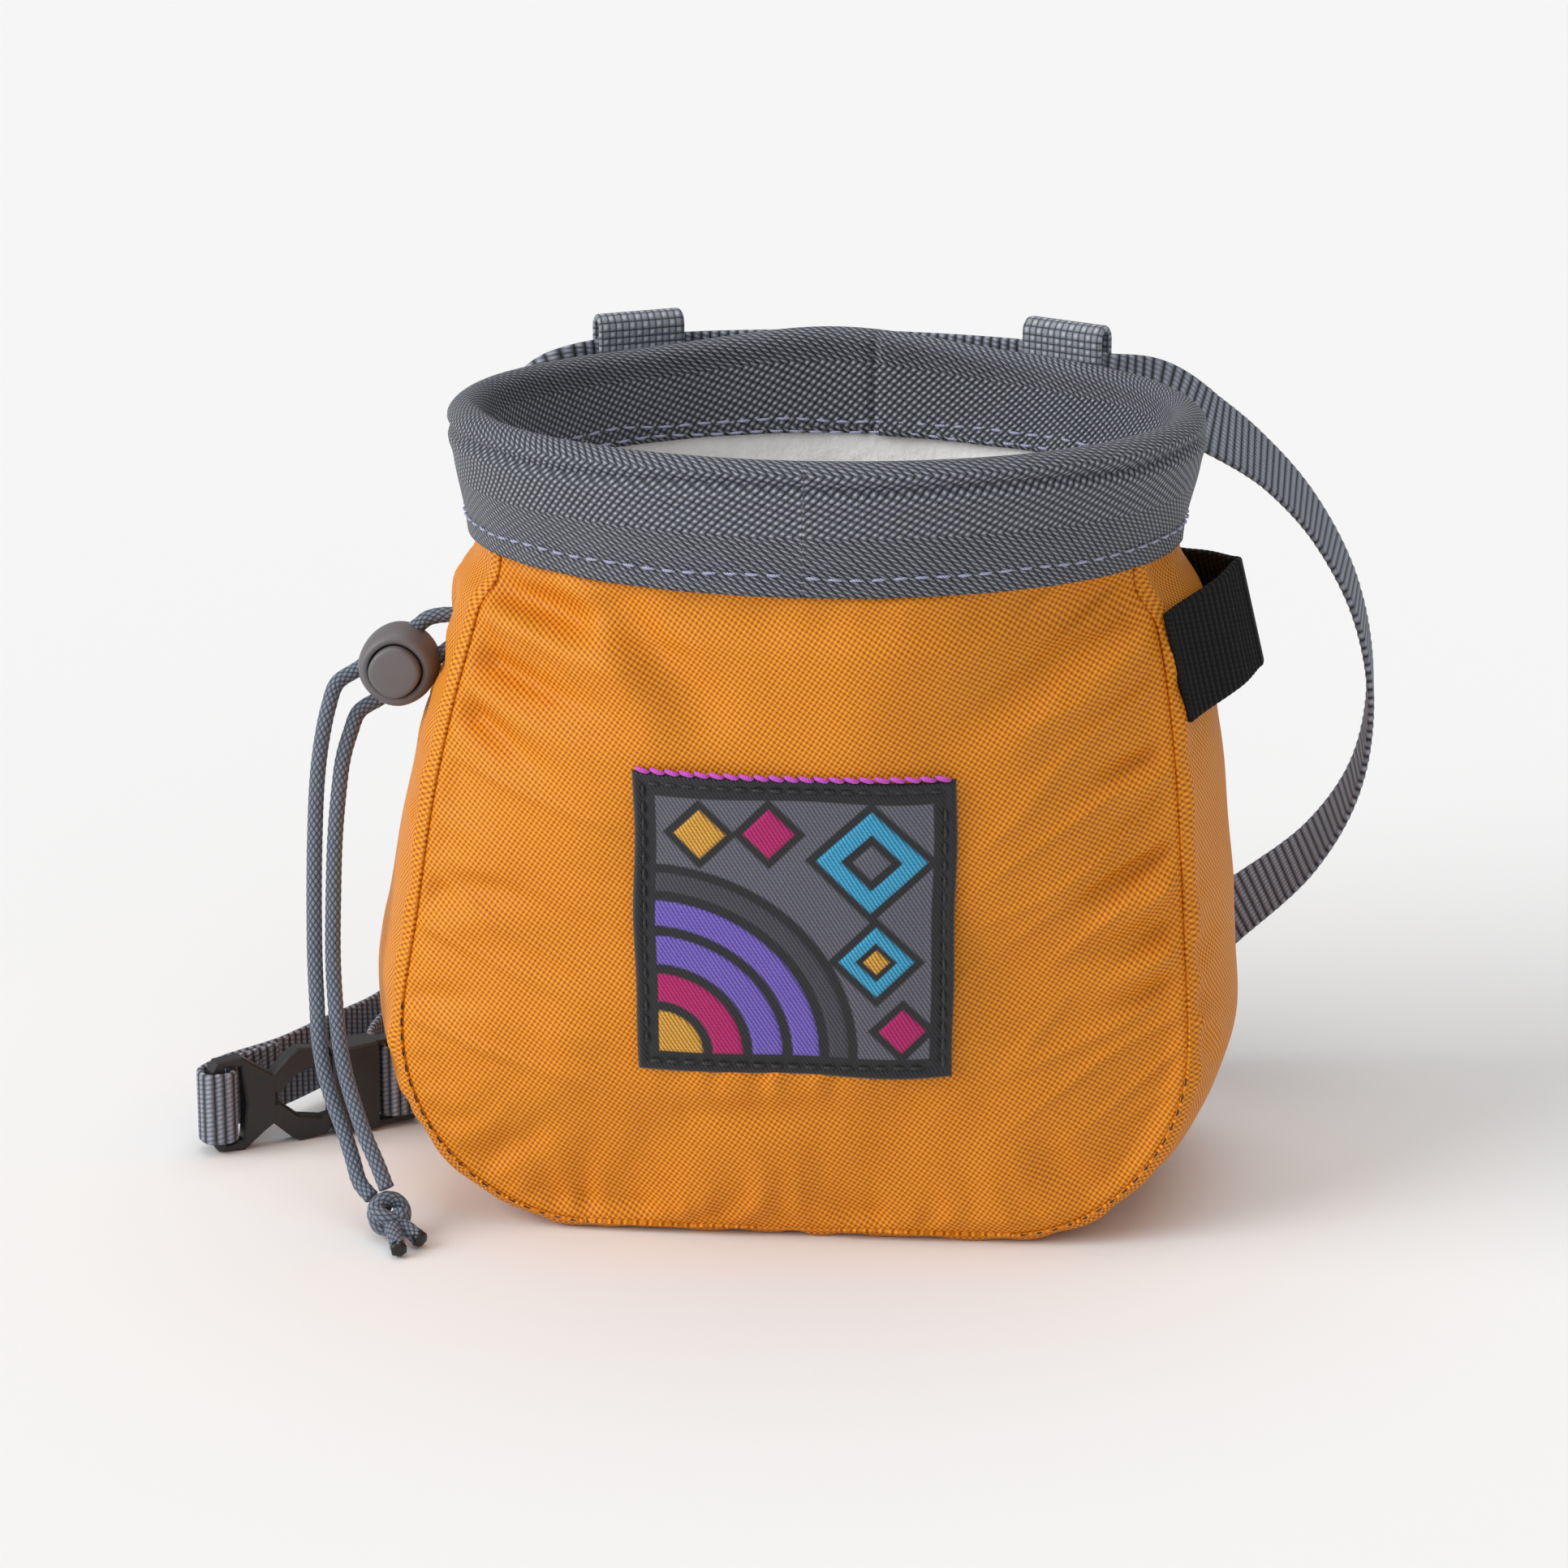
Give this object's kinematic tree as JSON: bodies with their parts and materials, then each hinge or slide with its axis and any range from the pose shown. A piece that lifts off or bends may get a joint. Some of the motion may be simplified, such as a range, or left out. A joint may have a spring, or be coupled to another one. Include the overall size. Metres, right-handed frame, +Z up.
{
  "type": "climbing chalk bag",
  "caption": "Round-mouthed fabric chalk bag with grey webbing rim, fleece lining, waist belt with side-release buckle, brush loop, woven label and closing cord with a push-button cord lock",
  "frame": {"origin": "on the floor, at the middle of the bag's base", "axes": "+Z up, -Y the front with the label, +X the side with the brush loop and the belt's free arc"},
  "size_m": [0.2342, 0.1255, 0.1635],
  "materials": {
    "shell_nylon": "plain woven nylon, satin",
    "grey_webbing": "herringbone and plain webbing, matt",
    "white_fleece": "brushed fleece",
    "black_webbing": "ribbed webbing, matt",
    "black_plastic": "fine moulded texture",
    "grey_plastic": "fine moulded texture",
    "label_weave": "woven twill",
    "slate_cord": "braided sheath"
  },
  "bodies": {
    "bag": {"front_panel": "shell_nylon", "back_panel": "shell_nylon", "gusset": "shell_nylon", "fleece_lining": "white_fleece", "rim_band": "grey_webbing", "belt_loop_left": "grey_webbing", "belt_loop_right": "grey_webbing", "waist_belt": "grey_webbing", "brush_loop": "black_webbing", "buckle_male": "black_plastic", "buckle_female": "black_plastic", "woven_label": "label_weave", "cord_lock_body": "grey_plastic", "drawcord_a": "slate_cord", "drawcord_b": "slate_cord", "cord_knot": "slate_cord"},
    "button": {"cord_lock_button": "grey_plastic"}
  },
  "joints": [
    {"name": "button_press", "type": "slide", "parent": "bag", "child": "button", "axis": [0, 1, 0], "range_m": [0, 0.003], "stiffness_N_per_m": 600}
  ]
}
